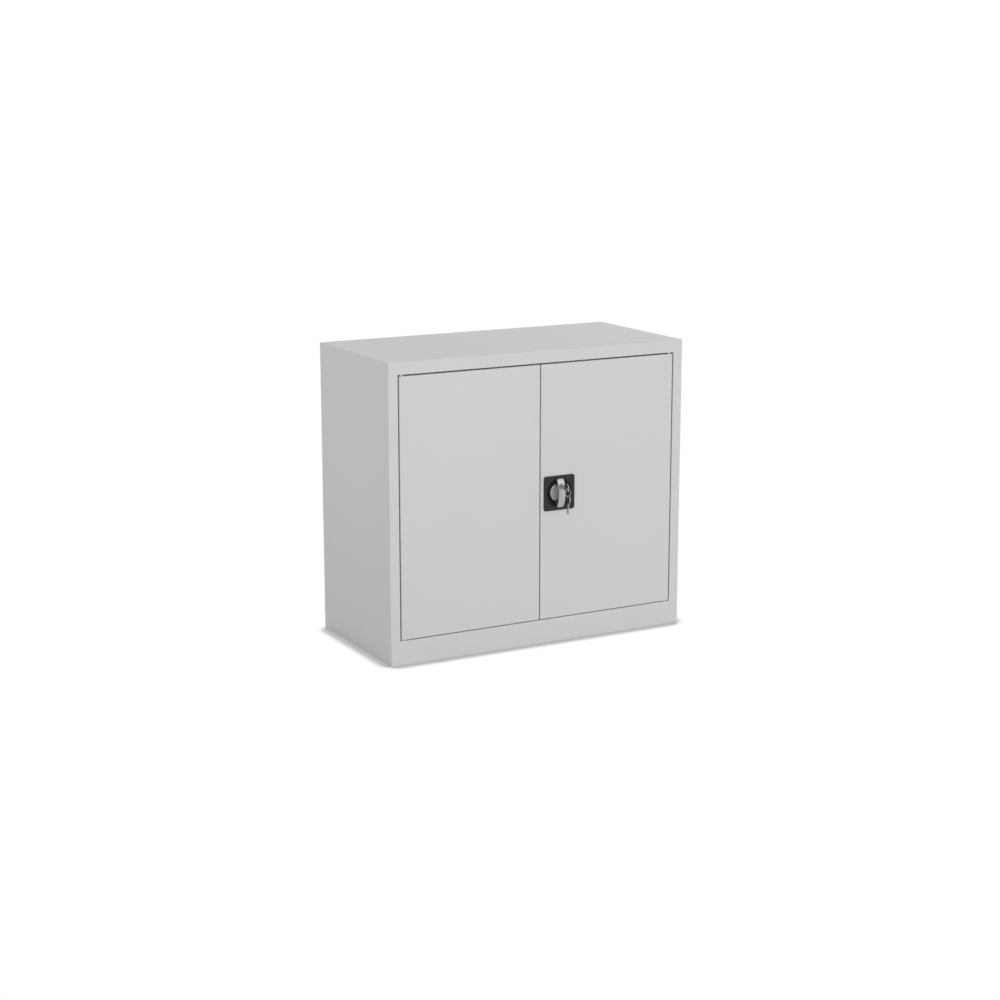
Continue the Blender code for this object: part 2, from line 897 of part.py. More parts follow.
def cylinder():
    """The fixed housing in the grip, and the core with its keyway that turns in it."""
    start = core_face + housing_back_out
    end = start + core_length
    inner = housing_radius - housing_wall
    profile = [(inner, start), (housing_radius, start), (housing_radius, end), (inner, end)]
    housing = turned("cylinder_housing", profile, "Y", cylinder_z, lock_x, NICKEL, ring=True)
    core_end = core_face + core_length
    core = rod("cylinder_core", "Y", cylinder_z, lock_x, core_face, core_end, inner - turn_clear, NICKEL)
    half_u, half_v = key_blade_half + keyway_clear, key_thick / 2 + keyway_clear
    keyway = box(
        "keyway",
        (lock_x - half_v, core_face - overrun, cylinder_z - half_u),
        (lock_x + half_v, core_face + key_in_core + keyway_clear, cylinder_z + half_u),
    )
    cut(core, keyway)
    return housing, core


def key_outline():
    """A key from its bow, at the origin, to the tip of its blade, as (along the blade, across it)."""
    blade_end = key_bow_radius - key_bow_overlap + key_shank_out + key_in_core
    half = math.asin(key_blade_half / key_bow_radius)
    points = []
    for i in range(key_bow_steps + 1):
        angle = half + i * 2 * (math.pi - half) / key_bow_steps
        points.append((key_bow_radius * math.cos(angle), key_bow_radius * math.sin(angle)))
    # The bits are cut in the lower edge of the part that enters the core.
    bit_pitch = key_in_core / (key_bits + 1)
    start = blade_end - key_in_core
    for i in range(key_bits):
        place = start + (i + 0.75) * bit_pitch
        points += [
            (place, -key_blade_half),
            (place + bit_pitch / 4, -key_blade_half + key_bit_depth),
            (place + bit_pitch / 2, -key_blade_half),
        ]
    points += [
        (blade_end - key_blade_half / 2, -key_blade_half),
        (blade_end, -key_blade_half / 2),
        (blade_end, key_blade_half / 2),
        (blade_end - key_blade_half / 2, key_blade_half),
    ]
    return points


def key_piece(name, bow_y, bow_z, along):
    """A key with its bow at a place, its blade pointing along a direction in Y and Z."""
    ay, az = along
    points = [(bow_y + u * ay - v * az, bow_z + u * az + v * ay) for u, v in key_outline()]
    piece = prism(name, points, "X", lock_x - key_thick / 2, lock_x + key_thick / 2, NICKEL)
    hole_from_bow = key_bow_radius - key_hole_inset
    hole_y, hole_z = bow_y - hole_from_bow * ay, bow_z - hole_from_bow * az
    hole = rod(
        f"{name}_hole",
        "X",
        hole_y,
        hole_z,
        lock_x - overrun,
        lock_x + overrun,
        key_hole_radius,
        None,
        small_steps,
    )
    cut(piece, hole)
    return piece


def keys_and_ring():
    """The key in the core, the ring through its bow, and the spare key that hangs from the ring."""
    key = key_piece("key", front - key_bow_out, cylinder_z, (1, 0))
    ring_top = (front - key_hole_out, cylinder_z - key_hole_radius + ring_wire + seat)
    ring_middle_z = ring_top[1] - ring_radius
    bpy.ops.mesh.primitive_torus_add(
        location=(lock_x, ring_top[0], ring_middle_z),
        rotation=(math.pi / 2, 0, 0),
        major_segments=ring_steps,
        minor_segments=ring_wire_steps,
        major_radius=ring_radius,
        minor_radius=ring_wire,
    )
    ring = bpy.context.active_object
    ring.name = ring.data.name = "key_ring"
    ring.data.transform(ring.matrix_world)
    ring.matrix_world = Matrix.Identity(4)
    ring.data.materials.append(own_material("key_ring", NICKEL))
    ring.data.shade_smooth()
    ring_low = ring_middle_z - ring_radius
    hole_z = ring_low + ring_wire + seat - key_hole_radius
    bow_z = hole_z - (key_bow_radius - key_hole_inset)
    spare = key_piece("spare_key", ring_top[0], bow_z, (0, -1))
    return key, ring, spare, ring_top, (ring_top[0], ring_low)


def pinion():
    points = []
    for i in range(teeth):
        middle = 2 * math.pi * i / teeth
        root, tip = pitch_radius - tooth_in, pitch_radius + tooth_out
        for radius, half in (
            (root, -tooth_root_half),
            (tip, -tooth_tip_half),
            (tip, tooth_tip_half),
            (root, tooth_root_half),
        ):
            angle = middle + half / radius
            points.append((lock_z + radius * math.sin(angle), lock_x + radius * math.cos(angle)))
    start = gear_front - (pinion_thick - rack_thick) / 2
    gear = prism("lock_pinion", points, "Y", start, start + pinion_thick, BARE_STEEL)
    half = spindle_side / 2 + spindle_clear
    cut(
        gear,
        box(
            "pinion_bore",
            (lock_x - half, start - overrun, lock_z - half),
            (lock_x + half, start + pinion_thick + overrun, lock_z + half),
        ),
    )
    return gear


def lock_rod(name, side, door_face):
    """A round rod with a toothed rack at its inner end. Side is 1 for the rod that goes up, on the left."""

    def turn(x, z):
        return lock_x - side * x, lock_z + side * z

    # The rack, drawn for the left side: x is measured from the lock's middle to the left.
    root, tip = pitch_radius + rack_tooth_in, pitch_radius - rack_tooth_out
    low = -(rack_teeth / 2 - 0.5) * tooth_pitch - rack_root_half
    top = rod_block_from_lock + rod_block_height / 2
    outline = [(root + rack_back, top), (root + rack_back, low - rack_end), (root, low - rack_end)]
    for i in range(rack_teeth):
        z = (i - rack_teeth / 2 + 0.5) * tooth_pitch
        outline += [
            (root, z - rack_root_half),
            (tip, z - rack_tip_half),
            (tip, z + rack_tip_half),
            (root, z + rack_root_half),
        ]
    outline.append((root, top))
    points = [(z, x) for x, z in (turn(x, z) for x, z in outline)]
    rack = prism(f"{name}_rack", points, "Y", gear_front, gear_front + rack_thick)

    far_x, block_low = turn(root + rack_back, rod_block_from_lock)
    near_x, block_high = turn(-rod_radius - rod_block_past_rod, rod_block_from_lock + rod_block_height)
    xs, zs = sorted((far_x, near_x)), sorted((block_low, block_high))
    block = box(
        f"{name}_block",
        (xs[0], rod_y - rod_radius - rod_block_past_rod, zs[0]),
        (xs[1], gear_front + rack_thick, zs[1]),
    )
    ends = sorted(((zs[0] + zs[1]) / 2, door_face + side * rod_tip_out))
    bar = rod(name, "Z", lock_x, rod_y, ends[0], ends[1], rod_radius, BARE_STEEL)
    join(bar, block, rack)
    return bar


def rod_guide(name, door_face, side):
    """A block on the door's skin, half way along a lock rod, that keeps it straight."""
    block_end = lock_z + side * (rod_block_from_lock + rod_block_height)
    z = (block_end + door_face) / 2
    low = front + sheet + seat
    guide = box(
        name,
        (lock_x - guide_half_width, low, z - guide_half_height),
        (lock_x + guide_half_width, low + guide_depth, z + guide_half_height),
        GREY_PLASTIC,
    )
    cut(
        guide,
        rod(
            f"{name}_bore",
            "Z",
            lock_x,
            rod_y,
            z - guide_half_height - overrun,
            z + guide_half_height + overrun,
            rod_radius + rod_clear,
        ),
    )
    return guide


def tongue():
    """The flat bolt on the spindle, which turns behind the left door, and the screw that holds it."""
    half = tongue_width / 2
    low = door_back + tongue_gap
    outline = []
    for i in range(small_steps // 2 + 1):
        angle = 2 * math.pi * i / small_steps
        outline.append((half * math.sin(angle), half * math.cos(angle)))
    outline = [(lock_z + u, lock_x + v) for u, v in outline]
    outline += [(lock_z - tongue_reach, lock_x - half), (lock_z - tongue_reach, lock_x + half)]
    bolt = prism("latch_tongue", outline, "Y", low, low + tongue_thick, BARE_STEEL)
    bore = spindle_side / 2 + spindle_clear
    cut(
        bolt,
        box(
            "tongue_bore",
            (lock_x - bore, low - overrun, lock_z - bore),
            (lock_x + bore, low + tongue_thick + overrun, lock_z + bore),
        ),
    )
    face = tongue_back() + seat
    profile = [
        (tongue_screw_radius, tongue_back() - tongue_screw_grip),
        (tongue_screw_radius, face),
        (tongue_screw_head_radius, face),
        (tongue_screw_head_radius, face + tongue_screw_head),
    ]
    screw = turned("tongue_screw", profile, "Y", lock_z, lock_x, BARE_STEEL)
    return bolt, screw


def doors_and_lock():
    left_door, left_stiffener = door_shell("left")
    left_pins = bushes_and_pins("left", left_door)
    on_pivot("left_door_pivot", (-pivot_x, pivot_y, door_low), [left_door, left_stiffener, *left_pins])

    right_door, right_stiffener = door_shell("right")
    right_pins = bushes_and_pins("right", right_door)
    slope = (dish_mouth_radius - dish_floor_radius) / dish_depth
    hole_radius = dish_mouth_radius - slope * plate_thick / 2 + dish_wall + dish_skin_clear
    low, high = front - overrun, front + overrun
    cut(right_door, rod("skin_hole", "Y", lock_z, lock_x, low, high, hole_radius, None, round_steps * 2))
    for name, z in (("top", door_high), ("bottom", door_low)):
        bore = rod_radius + rod_clear
        cut(right_door, rod(f"rod_hole_{name}", "Z", lock_x, rod_y, z - overrun, z + overrun, bore))
    guides = [rod_guide("rod_guide_top", door_high, 1), rod_guide("rod_guide_bottom", door_low, -1)]
    fixed = [right_door, right_stiffener, *right_pins, lock_plate(), *lock_case(), *guides]
    right_pivot = on_pivot("right_door_pivot", (pivot_x, pivot_y, door_low), fixed)

    housing, core = cylinder()
    bolt, screw = tongue()
    knob_pieces = [knob(), housing, pinion(), bolt, screw]
    knob_pivot = on_pivot("knob_pivot", (lock_x, front, lock_z), knob_pieces, right_pivot)

    key, ring, spare, ring_top, ring_low = keys_and_ring()
    key_pivot = on_pivot("key_pivot", (lock_x, core_face, cylinder_z), [key, core], knob_pivot)
    ring_pivot = on_pivot("ring_pivot", (lock_x, *ring_top), [ring], key_pivot)
    on_pivot("spare_key_pivot", (lock_x, *ring_low), [spare], ring_pivot)

    for name, side, face in (("lock_rod_top", 1, door_high), ("lock_rod_bottom", -1, door_low)):
        place = (lock_x, rod_y, lock_z + side * rod_block_from_lock)
        on_pivot(f"{name}_slide", place, [lock_rod(name, side, face)], right_pivot)


clear_scene()
side_panels()
top_panel()
base()
back_panel()
shelf_rails()
shelf()
top_plugs()
stop_buffers()
doors_and_lock()
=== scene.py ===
# %% [markdown]
# # A low steel cupboard, dressed for a product picture
#
# The cupboard is two folded steel doors in a folded steel case, with a black lock plate and a zinc knob. It
# could be modelled anew for the picture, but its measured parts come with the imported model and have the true
# sizes. So this file refines only the pieces whose edges show, models the knob and the key ring anew, gives
# every piece its finish, and sets the floor, the light and the camera.

import json
import math

import bpy
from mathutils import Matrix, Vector

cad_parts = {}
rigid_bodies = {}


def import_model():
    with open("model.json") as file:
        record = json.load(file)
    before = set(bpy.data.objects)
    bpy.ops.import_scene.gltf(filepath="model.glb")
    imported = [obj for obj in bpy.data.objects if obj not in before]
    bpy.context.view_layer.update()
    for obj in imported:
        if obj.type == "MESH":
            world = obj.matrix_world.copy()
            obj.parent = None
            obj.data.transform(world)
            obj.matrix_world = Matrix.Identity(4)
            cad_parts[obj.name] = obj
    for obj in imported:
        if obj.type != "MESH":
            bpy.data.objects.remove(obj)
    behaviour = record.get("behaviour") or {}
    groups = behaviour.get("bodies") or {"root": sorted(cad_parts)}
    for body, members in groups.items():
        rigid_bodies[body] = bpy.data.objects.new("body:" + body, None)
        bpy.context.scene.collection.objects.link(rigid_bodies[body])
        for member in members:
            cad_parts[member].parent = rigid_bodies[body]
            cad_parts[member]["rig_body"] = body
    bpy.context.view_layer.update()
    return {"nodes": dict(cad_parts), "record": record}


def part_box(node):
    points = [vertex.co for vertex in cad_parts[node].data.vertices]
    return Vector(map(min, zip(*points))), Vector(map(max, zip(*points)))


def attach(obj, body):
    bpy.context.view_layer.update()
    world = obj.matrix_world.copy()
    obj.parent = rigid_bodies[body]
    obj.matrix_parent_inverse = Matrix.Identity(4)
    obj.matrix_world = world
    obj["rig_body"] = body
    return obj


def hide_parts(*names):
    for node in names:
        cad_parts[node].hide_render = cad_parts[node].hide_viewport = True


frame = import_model()
nodes = frame["nodes"]
scene = bpy.context.scene
mm = 0.001

# %% [markdown]
# ## The camera
#
# The camera's place, direction and lens were found by matching the case's corners with the picture. It
# stands to the left of the cupboard and above its top, and looks down at it. The picture's uprights are
# parallel, as a shifted lens draws them. The lens stays unshifted here, so that the cupboard also stands in
# the middle when it is seen from other sides, and its uprights lean by three pixels at most.

# %% The camera
camera_place = (-2.3607, -4.266, 1.4097)
camera_turn = math.radians(-28.749)
camera_tilt = math.radians(12.51)
lens_mm = 72.81

camera = bpy.data.objects.new("camera", bpy.data.cameras.new("camera"))
camera.data.lens = lens_mm
camera.location = camera_place
camera.rotation_euler = (math.pi / 2 - camera_tilt, 0, camera_turn)
scene.collection.objects.link(camera)
scene.camera = camera
print("camera with a", lens_mm, "mm lens,", round(camera.location.length, 2), "m from the floor's middle")

# %% [markdown]
# ## Shader maths as Python
#
# A material is a graph of nodes. Written out node by node, its idea drowns in links. So a small class wraps
# a node's output, and `2 * a + 1` builds the Math nodes. Its one method for any other node takes the node's
# type, its settings, and a value or a link for each input.


# %% Sockets that add up
class Socket:
    """An output of a node. A sum, difference or product of it is a Math node."""

    def __init__(self, tree, output):
        self.tree, self.output = tree, output

    @classmethod
    def node(cls, tree, kind, settings=None, output=0, **inputs):
        """Adds a node. A number names an input by its place, and an underscore stands for a space."""
        added = tree.nodes.new("ShaderNode" + kind)
        for name, value in (settings or {}).items():
            setattr(added, name, value)
        for name, value in inputs.items():
            socket = added.inputs[int(name) if name.isdigit() else name.replace("_", " ")]
            if isinstance(value, Socket):
                tree.links.new(value.output, socket)
            else:
                socket.default_value = value
        return cls(tree, added.outputs[output]) if added.outputs else None

    def _math(self, operation, *values):
        places = {str(place): value for place, value in enumerate(values)}
        return Socket.node(self.tree, "Math", {"operation": operation}, **places)

    def __add__(self, other):
        return self._math("ADD", self, other)

    def __sub__(self, other):
        return self._math("SUBTRACT", self, other)

    def __rsub__(self, other):
        return self._math("SUBTRACT", other, self)

    def __mul__(self, other):
        return self._math("MULTIPLY", self, other)

    __radd__, __rmul__ = __add__, __mul__


# %% [markdown]
# ## A finish
#
# Paint, plating and plastic are never quite even. The tone drifts a little from place to place, the gloss
# drifts with it, and the skin has a fine relief. A photographed texture could show this, but it would repeat
# and bring a file along. Noise on the object's own coordinates does neither. What differs between the
# finishes is the tone, the size of the clouds and grains, and the depth of the relief.

# %% A finish
cloud_share = 0.6
gloss_drift = 0.1


def grey(value):
    """A neutral colour, opaque."""
    return (value, value, value, 1)


def noise(tree, size, detail):
    """Noise from 0 to 1 whose grains are about that size, in metres."""
    here = Socket.node(tree, "TexCoord", output="Object")
    return Socket.node(tree, "TexNoise", Vector=here, Scale=1 / size, Detail=detail)


def finish(name, dark, light, rough, cloud, grain, relief, metallic=0.0, specular=0.45, peel=0.5):
    """A finish that drifts between two tones in clouds, with grains that stand out by the relief's depth."""
    material = bpy.data.materials.new(name)
    material.use_nodes = True
    tree = material.node_tree
    surface = tree.nodes["Principled BSDF"]
    surface.inputs["Metallic"].default_value = metallic
    surface.inputs["Specular IOR Level"].default_value = specular

    clouds = noise(tree, cloud, detail=2)
    grains = noise(tree, grain, detail=3)
    amount = cloud_share * clouds + (1 - cloud_share) * grains
    # Of a Mix node's inputs, 0 is the factor, and 6 and 7 are the two colours.
    tones = {"0": amount, "6": grey(dark), "7": grey(light)}
    tone = Socket.node(tree, "Mix", {"data_type": "RGBA"}, output=2, **tones)
    roughness = rough + gloss_drift * (clouds - 0.5)
    bump = Socket.node(tree, "Bump", Height=grains, Strength=peel, Distance=relief)
    for place, value in (("Base Color", tone), ("Roughness", roughness), ("Normal", bump)):
        tree.links.new(value.output, surface.inputs[place])
    return material


# %% [markdown]
# ## The finishes of this cupboard
#
# - The steel is powder coated: dry powder is sprayed on and baked, and flows out into a skin that is never
#   quite flat. Its orange peel has waves about 2 mm long.
# - Clips, pins and the lock's insides are zinc plated, with small crystals. The knob is cast zinc, satin.
# - Keys, ring and cylinder are nickel plated.
# - The lock plate is black plastic from a spark-eroded mould, with an even grain. Rubber hardly shines.
#
# A colour for each would be enough from afar. The opened doors show them close up, so each gets its grain.

# %% The finishes of this cupboard
# Each row: name, darker and lighter tone, roughness, size of the clouds, size of the grains, relief.
slot_finish = {
    "painted_steel": finish("powder_coat", 0.575, 0.595, 0.42, 350 * mm, 2.2 * mm, 0.03 * mm, peel=0.3),
    "zinc_plated_steel": finish("zinc_plate", 0.5, 0.66, 0.36, 12 * mm, 0.8 * mm, 0.01 * mm, metallic=1.0),
    "cast_zinc": finish("cast_zinc", 0.39, 0.45, 0.37, 10 * mm, 0.3 * mm, 0.01 * mm, metallic=0.9),
    "nickel_plate": finish("nickel_plate", 0.4, 0.48, 0.22, 8 * mm, 0.3 * mm, 0.004 * mm, metallic=1.0),
    "black_plastic": finish("black_plastic", 0.011, 0.015, 0.5, 20 * mm, 0.35 * mm, 0.02 * mm, specular=0.3),
    "grey_plastic": finish("grey_plastic", 0.6, 0.66, 0.4, 8 * mm, 0.4 * mm, 0.02 * mm),
    "black_rubber": finish("rubber", 0.026, 0.034, 0.85, 5 * mm, 0.6 * mm, 0.03 * mm, specular=0.3),
}
slot_of = {row["node"]: row["material_slot"] for row in frame["record"]["subparts"]}
body_of = {name: part["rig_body"] for name, part in nodes.items()}


def coat(piece, slot):
    """Gives a piece the finish of that slot and no other."""
    piece.data.materials.clear()
    piece.data.materials.append(slot_finish[slot])


for name, part in nodes.items():
    coat(part, slot_of[name])
print({slot: list(slot_of.values()).count(slot) for slot in slot_finish})


# %% [markdown]
# ## Working on one piece at a time
#
# The measured parts are never changed. A piece that needs more is a copy, joined up and refined, and it
# stands in for the measured one. An operator acts on all that is selected, so each helper first picks out
# its piece.


# %% Working on one piece at a time
def pick(*pieces):
    """Selects these pieces alone, the first as the active one."""
    bpy.ops.object.select_all(action="DESELECT")
    for piece in pieces:
        piece.select_set(True)
    bpy.context.view_layer.objects.active = pieces[0]


def edit(piece, mode="VERT"):
    """Enters edit mode with everything selected."""
    pick(piece)
    bpy.ops.object.mode_set(mode="EDIT")
    bpy.ops.mesh.select_mode(type=mode)
    bpy.ops.mesh.select_all(action="SELECT")


def edit_where(piece, mode, test):
    """Enters edit mode with only those edges or faces selected that pass the test."""
    edit(piece, mode)
    bpy.ops.mesh.select_all(action="DESELECT")
    bpy.ops.object.mode_set(mode="OBJECT")
    for part in piece.data.edges if mode == "EDGE" else piece.data.polygons:
        part.select = test(part)
    bpy.ops.object.mode_set(mode="EDIT")


def apply_modifier(piece, kind, **settings):
    """Adds a modifier, sets it and applies it."""
    pick(piece)
    modifier = piece.modifiers.new(kind.lower(), kind)
    for name, value in settings.items():
        setattr(modifier, name, value)
    bpy.ops.object.modifier_apply(modifier=modifier.name)


# %% [markdown]
# A measured part is a mesh of loose triangles. Merged and with its flat faces made whole, a copy can be
# bevelled and smoothed like any modelled piece. Smooth shading alone would bend the light on the large flat
# faces, so the normals are weighted by the faces' size.

# %% Copying, rounding and standing in
merge_within = 0.002 * mm
flat_within = math.radians(0.5)


def copy_of(node, name):
    """A copy of a measured part with its vertices merged and its flat faces made whole."""
    pick(nodes[node])
    bpy.ops.object.duplicate()
    piece = bpy.context.active_object
    piece.name = piece.data.name = name
    bpy.ops.object.parent_clear(type="CLEAR_KEEP_TRANSFORM")
    for key in list(piece.keys()):
        if key.startswith("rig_"):
            del piece[key]
    bpy.ops.mesh.customdata_custom_splitnormals_clear()
    edit(piece)
    bpy.ops.mesh.remove_doubles(threshold=merge_within)
    bpy.ops.mesh.dissolve_limited(angle_limit=flat_within)
    bpy.ops.object.mode_set(mode="OBJECT")
    return piece


def bevel(piece, width, segments, angle):
    """Rounds the edges that are sharper than that angle, in degrees."""
    sharp = {"limit_method": "ANGLE", "angle_limit": math.radians(angle)}
    apply_modifier(piece, "BEVEL", width=width, segments=segments, **sharp)


def smooth(piece, angle=35):
    """Smooths the shading across edges blunter than that angle, and keeps the large faces flat."""
    pick(piece)
    bpy.ops.object.shade_smooth_by_angle(angle=math.radians(angle))
    apply_modifier(piece, "WEIGHTED_NORMAL", keep_sharp=True)


def stand_in(piece, node):
    """The piece takes the place, the body and the finish of a measured part."""
    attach(piece, body_of[node])
    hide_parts(node)
    coat(piece, slot_of[node])


# %% [markdown]
# ## The folded sheets
#
# The sheets have small radii where they are folded and raw edges where they are cut. They could be folded
# again from flat plates, but the measured ones already have a few faces in each fold, and smooth shading
# turns these into one soft edge. Where the case's stiles meet its rail and its plinth, the real seam is
# welded, ground flush and painted over. A small block fills the groove there.

# %% The welds at the stiles' ends
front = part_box("left_door_panel")[0].y
side_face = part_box("right_side_panel")[1].x
stile_width, rail_height, plinth_height = 25 * mm, 30 * mm, 60 * mm
stile_edge = side_face - stile_width
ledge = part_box("top_panel")[1].z - rail_height
weld_inset, weld_thick, weld_into_stile = 1.1 * mm, 1.2 * mm, 0.4 * mm
weld_outer = side_face - weld_inset


def weld(name, side, low, high):
    """The weld that fills the groove between a stile and the sheet over or under it."""
    bpy.ops.mesh.primitive_cube_add(
        size=1,
        location=(side * (weld_outer + stile_edge) / 2, front + weld_thick / 2, (low + high) / 2),
        scale=(weld_outer - stile_edge, weld_thick, high - low),
    )
    block = bpy.context.active_object
    block.name = block.data.name = name
    bpy.ops.object.transform_apply(location=True, rotation=False, scale=True)
    return block


for side, node in ((-1, "left_side_panel"), (1, "right_side_panel")):
    panel = copy_of(node, node.replace("_panel", "_sheet"))
    fills = [
        weld(f"{node}_top_weld", side, ledge - weld_into_stile, ledge + weld_thick),
        weld(f"{node}_bottom_weld", side, plinth_height - weld_thick, plinth_height + weld_into_stile),
    ]
    pick(panel, *fills)
    bpy.ops.object.join()
    smooth(panel)
    stand_in(panel, node)
print("stiles end at", round(stile_edge, 4), "and the ledge is at", round(ledge, 4))

# %% The top, the plinth and the doors
for node in ("top_panel", "plinth_front", "left_door_panel", "right_door_panel"):
    sheet = copy_of(node, node.replace("_panel", "") + "_sheet")
    smooth(sheet)
    stand_in(sheet, node)
    print(sheet.name, len(sheet.data.polygons), "faces")

# %% [markdown]
# ## The lock plate
#
# The plate is a rounded square with a conical dish. Moulded plastic has no sharp rim anywhere, and the light
# line on its edges in the picture is the glint of that small radius. A subdivision surface would round the
# edges too, but it would also pull the cone and the flat rim out of shape. A narrow bevel keeps both.

# %% The lock plate
moulded_radius = 0.35 * mm
plate = copy_of("lock_plate", "lock_plate_moulding")
bevel(plate, moulded_radius, segments=2, angle=30)
smooth(plate, angle=30)
stand_in(plate, "lock_plate")
print("lock plate:", len(plate.data.polygons), "faces")

# %% [markdown]
# ## The plugs in the top
#
# Four moulded caps close the holes in the top. Each is a low dome that stands no higher than the sheet, so
# all that shows of it is its slope, light on one side and shaded on the other, and the groove round it. A
# dome could be turned anew, but a copy already fits its hole: its flat face is pushed down, and two insets
# raise its middle again.

# %% The plugs in the top
near_top = 0.05 * mm
rim_down = 0.75 * mm
# Each slope goes this far inward and this far up.
slopes = ((1.2 * mm, 0.45 * mm), (2.4 * mm, 0.25 * mm))
for node in sorted(name for name in nodes if name.startswith("top_plug")):
    cap = copy_of(node, node.replace("top_plug", "plug_cap"))
    just_below_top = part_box(node)[1].z - near_top
    edit_where(cap, "FACE", lambda face: face.center.z > just_below_top)
    bpy.ops.transform.translate(value=(0, 0, -rim_down))
    for inward, upward in slopes:
        bpy.ops.mesh.inset(thickness=inward, depth=upward)
    bpy.ops.object.mode_set(mode="OBJECT")
    smooth(cap)
    stand_in(cap, node)
print("plug:", len(cap.data.polygons), "faces, top at", round(max(v.co.z for v in cap.data.vertices), 5))

# %% [markdown]
# ## The knob
#
# The knob is one casting: a disc, an upright grip over it and a square spindle behind. The grip could be
# sculpted, but its shape is simple enough to measure. So it is cut from a block, which is first sliced
# across, close together near the ends, where its shape changes most.

# %% The grip's block
plate_low, plate_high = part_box("lock_plate")
lock_x = (plate_low.x + plate_high.x) / 2
lock_z = (plate_low.z + plate_high.z) / 2
grip_half_width = 9 * mm
end_half = 35.5 * mm
slices_mm = [0, 5, 10, 15, 20, 24, 28, 31.3, 32.2, 33.2, 34, 34.5]

bpy.ops.object.select_all(action="DESELECT")
bpy.ops.mesh.primitive_cube_add(size=2, location=(0, 0, 0), scale=(grip_half_width, 1, end_half))
grip = bpy.context.active_object
grip.name = grip.data.name = "knob_casting"
bpy.ops.object.transform_apply(location=False, rotation=False, scale=True)
for height in sorted({s * side * mm for s in slices_mm for side in (-1, 1)}):
    edit(grip)
    bpy.ops.mesh.bisect(plane_co=(0, 0, height), plane_no=(0, 0, 1))
    bpy.ops.object.mode_set(mode="OBJECT")
print("grip's block:", len(grip.data.vertices), "corners")

# %% [markdown]
# Then each slice's four corners go where the casting has them. The front is an arch, the back leaves the
# disc and comes forward towards the ends, and the width closes in a quarter of a circle at each end. The
# arch is a formula, so the corners are placed by it in one go, where scaling each slice by hand would say
# less.

# %% The grip's arch
dish_depth, disc_out = 9 * mm, 6.7 * mm
dish_floor = front + dish_depth
disc_front = dish_floor - disc_out
arch_out, tip_out, end_out, knee_out = 17 * mm, 7 * mm, 5 * mm, 1.2 * mm
tip_half, knee_half, foot_half = 34.8 * mm, 32 * mm, 20 * mm
foot_into_disc = 0.4 * mm
end_round = 3.5 * mm
# Each row: distance from the lock's middle, and where the grip's back lies there.
grip_back = [
    (0, disc_front + foot_into_disc),
    (foot_half, disc_front + foot_into_disc),
    (knee_half, front - knee_out),
    (end_half, front - end_out),
]


def between(place, table):
    """The value at a place in a table of (place, value), straight between its rows."""
    for (a, low), (b, high) in zip(table, table[1:]):
        if place <= b:
            return low + (high - low) * (place - a) / (b - a)
    return table[-1][1]


for vertex in grip.data.vertices:
    from_middle = abs(vertex.co.z)
    into_round = min(max(from_middle - tip_half + end_round, 0), end_round)
    half_width = grip_half_width - end_round + math.sqrt(end_round**2 - into_round**2)
    vertex.co.x = math.copysign(half_width, vertex.co.x)
    if vertex.co.y < 0:
        share = min(from_middle / tip_half, 1)
        vertex.co.y = front - tip_out - (arch_out - tip_out) * (1 - share * share)
        if from_middle > tip_half:
            vertex.co.z = math.copysign(tip_half, vertex.co.z)
    else:
        vertex.co.y = between(from_middle, grip_back)
    vertex.co.x += lock_x
    vertex.co.z += lock_z
print("grip's arch: front at", round(min(v.co.y for v in grip.data.vertices), 4))

# %% [markdown]
# A hand needs the grip's front edges round. Of the edges on the arched front, those that run along a side
# or lie at an end are bevelled. The bevel leaves a slit 0.04 mm wide at each end, which a merge closes.

# %% The grip's rounded edges
hand_radius = 1.9 * mm
merge_slit = 0.06 * mm
close_by = 0.1 * mm


def to_round(edge):
    """True for the edges of the arched front that run along a side or lie at an end."""
    a, b = (grip.data.vertices[i].co for i in edge.vertices)
    on_front = max(a.y, b.y) < front - tip_out + close_by
    along_side = (a.x - lock_x) * (b.x - lock_x) > 0
    at_tip = all(abs(abs(corner.z - lock_z) - tip_half) < close_by for corner in (a, b))
    return on_front and (along_side or (at_tip and abs(a.z - b.z) < close_by))


edit_where(grip, "EDGE", to_round)
bpy.ops.mesh.bevel(offset=hand_radius, segments=5, profile=0.5, clamp_overlap=True)
bpy.ops.mesh.select_all(action="SELECT")
bpy.ops.mesh.remove_doubles(threshold=merge_slit)
bpy.ops.object.mode_set(mode="OBJECT")
print("grip:", len(grip.data.polygons), "faces")

# %% [markdown]
# The bore for the cylinder is cut through the arch. The disc, with a small round edge that catches the
# light, and the spindle are joined to the grip, because the real knob is one casting. One mesh without
# inner walls could be had from a union, but nothing of them shows, and the join leaves the faces as clean
# as they were modelled.

# %% The cylinder's bore
housing_low, housing_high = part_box("cylinder_housing")
cylinder_x = (housing_low.x + housing_high.x) / 2
cylinder_z = (housing_low.z + housing_high.z) / 2
housing_radius = (housing_high.x - housing_low.x) / 2
bore_clear = 0.3 * mm
bore_depth = 30 * mm

bpy.ops.mesh.primitive_cylinder_add(
    vertices=48,
    radius=housing_radius + bore_clear,
    depth=bore_depth,
    location=(cylinder_x, housing_high.y + bore_clear - bore_depth / 2, cylinder_z),
    rotation=(math.pi / 2, 0, 0),
)
bore = bpy.context.active_object
bpy.ops.object.transform_apply(location=True, rotation=True, scale=False)
apply_modifier(grip, "BOOLEAN", object=bore, operation="DIFFERENCE", solver="EXACT")
bpy.data.objects.remove(bore)
print("bore:", round(2 * (housing_radius + bore_clear) / mm, 1), "mm across")

